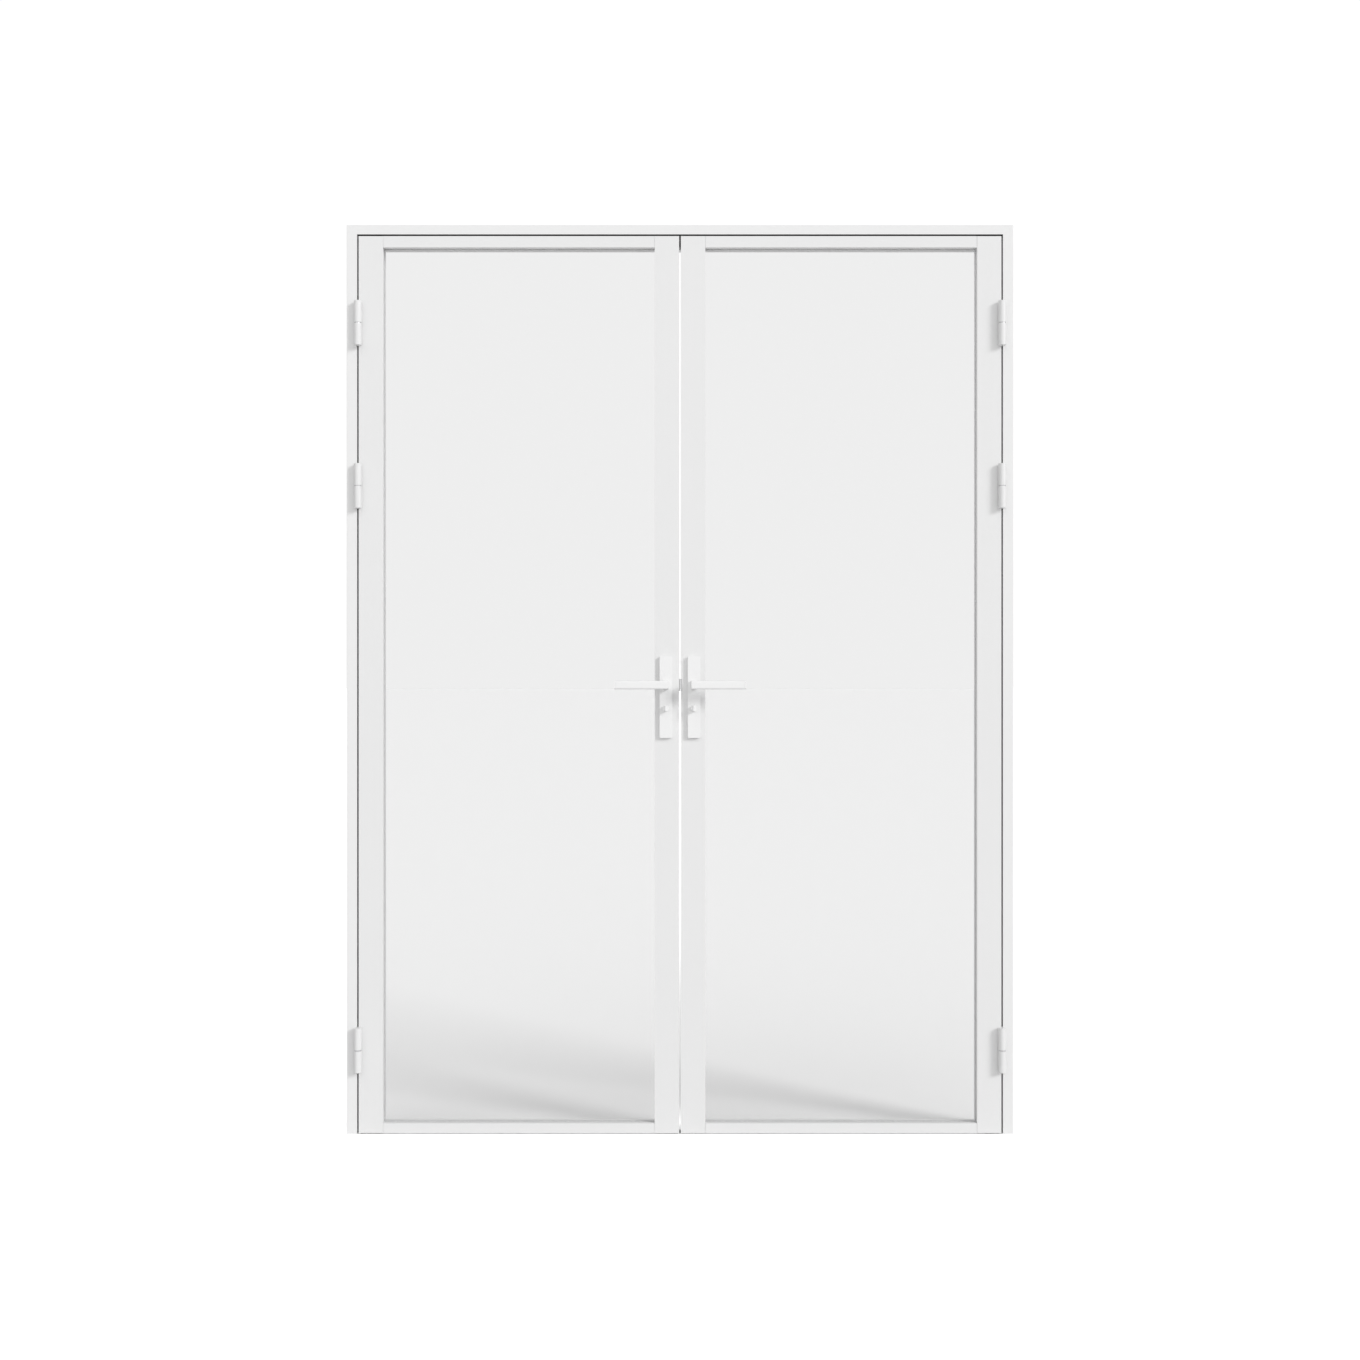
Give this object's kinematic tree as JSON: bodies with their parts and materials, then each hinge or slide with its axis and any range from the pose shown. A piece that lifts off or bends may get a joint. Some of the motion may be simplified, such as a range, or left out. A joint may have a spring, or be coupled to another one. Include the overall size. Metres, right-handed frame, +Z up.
{
  "type": "prehung double glass door",
  "caption": "White double-leaf door with full-height clear glass, hung in its own three-sided frame on lift-off hinges, with lever handles, thumb turns, latch, dead bolt and shoot bolts.",
  "frame": {"origin": "on the floor, at the middle of the width and of the leaves' thickness", "axes": "+Z up, +X to the right seen from the front, +Y from the front to the back; the hinge barrels and the side to which the leaves open are at -Y"},
  "size_m": [1.54, 0.156, 2.1],
  "materials": {
    "white_coat": "satin white powder coat on aluminium extrusion",
    "white_hardware": "satin white powder coat on cast hardware",
    "glass": "clear toughened safety glass",
    "rubber": "matt black rubber",
    "white_seal": "pale grey glazing rubber",
    "nylon": "grey nylon",
    "steel": "brushed zinc-plated steel"
  },
  "bodies": {
    "frame": {"frame_head": "white_coat", "frame_jamb_left": "white_coat", "frame_jamb_right": "white_coat", "frame_corner_blocks": "steel", "frame_seal": "rubber", "hinge_frame_halves": "white_hardware", "hinge_pins": "steel", "hinge_washers": "nylon", "bolt_keeper": "steel"},
    "left_leaf": {"left_hinge_stile": "white_coat", "left_lock_stile": "white_coat", "left_top_rail": "white_coat", "left_bottom_rail": "white_coat", "left_corner_blocks": "steel", "left_glass": "glass", "left_front_seal": "white_seal", "left_back_seal": "white_seal", "left_side_beads": "white_coat", "left_rail_beads": "white_coat", "left_setting_blocks": "rubber", "left_hinge_leaf_halves": "white_hardware", "left_lock_case": "steel", "left_cylinder": "steel", "left_front_plate": "white_hardware", "left_back_plate": "white_hardware", "left_plate_screws": "steel", "left_faceplate": "steel"},
    "left_handle": {"left_front_lever": "white_hardware", "left_back_lever": "white_hardware", "left_spindle": "steel", "left_follower": "steel"},
    "left_turn": {"left_thumb_turn": "white_hardware"},
    "right_leaf": {"right_hinge_stile": "white_coat", "right_lock_stile": "white_coat", "right_top_rail": "white_coat", "right_bottom_rail": "white_coat", "right_corner_blocks": "steel", "right_glass": "glass", "right_front_seal": "white_seal", "right_back_seal": "white_seal", "right_side_beads": "white_coat", "right_rail_beads": "white_coat", "right_setting_blocks": "rubber", "right_hinge_leaf_halves": "white_hardware", "right_lock_case": "steel", "right_cylinder": "steel", "right_front_plate": "white_hardware", "right_back_plate": "white_hardware", "right_plate_screws": "steel", "right_strike_plate": "steel", "right_bolt_guides": "nylon"},
    "right_handle": {"right_front_lever": "white_hardware", "right_back_lever": "white_hardware", "right_spindle": "steel", "right_follower": "steel"},
    "right_turn": {"right_thumb_turn": "white_hardware"},
    "left_latch": {"left_latch": "steel"},
    "left_dead_bolt": {"left_dead_bolt": "steel"},
    "right_top_rod": {"right_top_rod": "steel"},
    "right_bottom_rod": {"right_bottom_rod": "steel"}
  },
  "joints": [
    {"name": "left_leaf_swing", "type": "hinge", "parent": "frame", "child": "left_leaf", "pos_m": [-0.7426, -0.0313, 0.192], "axis": [0, 0, -1], "range_deg": [0, 170]},
    {"name": "left_lever_press", "type": "hinge", "parent": "left_leaf", "child": "left_handle", "pos_m": [-0.0325, 0, 1.0375], "axis": [0, -1, 0], "range_deg": [0, 45], "stiffness_Nm_per_rad": 1.5, "springref_deg": -20.05},
    {"name": "left_turn_twist", "type": "hinge", "parent": "left_leaf", "child": "left_turn", "pos_m": [-0.0325, -0.02, 0.9835], "axis": [0, -1, 0], "range_deg": [0, 90]},
    {"name": "right_leaf_swing", "type": "hinge", "parent": "frame", "child": "right_leaf", "pos_m": [0.7426, -0.0313, 0.192], "axis": [0, 0, 1], "range_deg": [0, 170]},
    {"name": "right_lever_press", "type": "hinge", "parent": "right_leaf", "child": "right_handle", "pos_m": [0.0325, 0, 1.0375], "axis": [0, 1, 0], "range_deg": [0, 45], "stiffness_Nm_per_rad": 1.5, "springref_deg": -20.05},
    {"name": "right_turn_twist", "type": "hinge", "parent": "right_leaf", "child": "right_turn", "pos_m": [0.0325, -0.02, 0.9835], "axis": [0, 1, 0], "range_deg": [0, 90]},
    {"name": "left_latch_slide", "type": "slide", "parent": "left_leaf", "child": "left_latch", "axis": [-1, 0, 0], "range_m": [0, 0.003]},
    {"name": "left_dead_bolt_slide", "type": "slide", "parent": "left_leaf", "child": "left_dead_bolt", "axis": [1, 0, 0], "range_m": [0, 0.014]},
    {"name": "right_top_rod_slide", "type": "slide", "parent": "right_leaf", "child": "right_top_rod", "axis": [0, 0, 1], "range_m": [0, 0.02]},
    {"name": "right_bottom_rod_slide", "type": "slide", "parent": "right_leaf", "child": "right_bottom_rod", "axis": [0, 0, -1], "range_m": [0, 0.02]}
  ],
  "couplings": [
    {"joint": "left_latch_slide", "follows": "left_lever_press", "m_per_rad": 0.0038},
    {"joint": "left_turn_twist", "follows": "left_dead_bolt_slide", "rad_per_m": 112.19},
    {"joint": "right_turn_twist", "follows": "right_top_rod_slide", "rad_per_m": 78.53},
    {"joint": "right_bottom_rod_slide", "follows": "right_top_rod_slide", "ratio": 1}
  ]
}
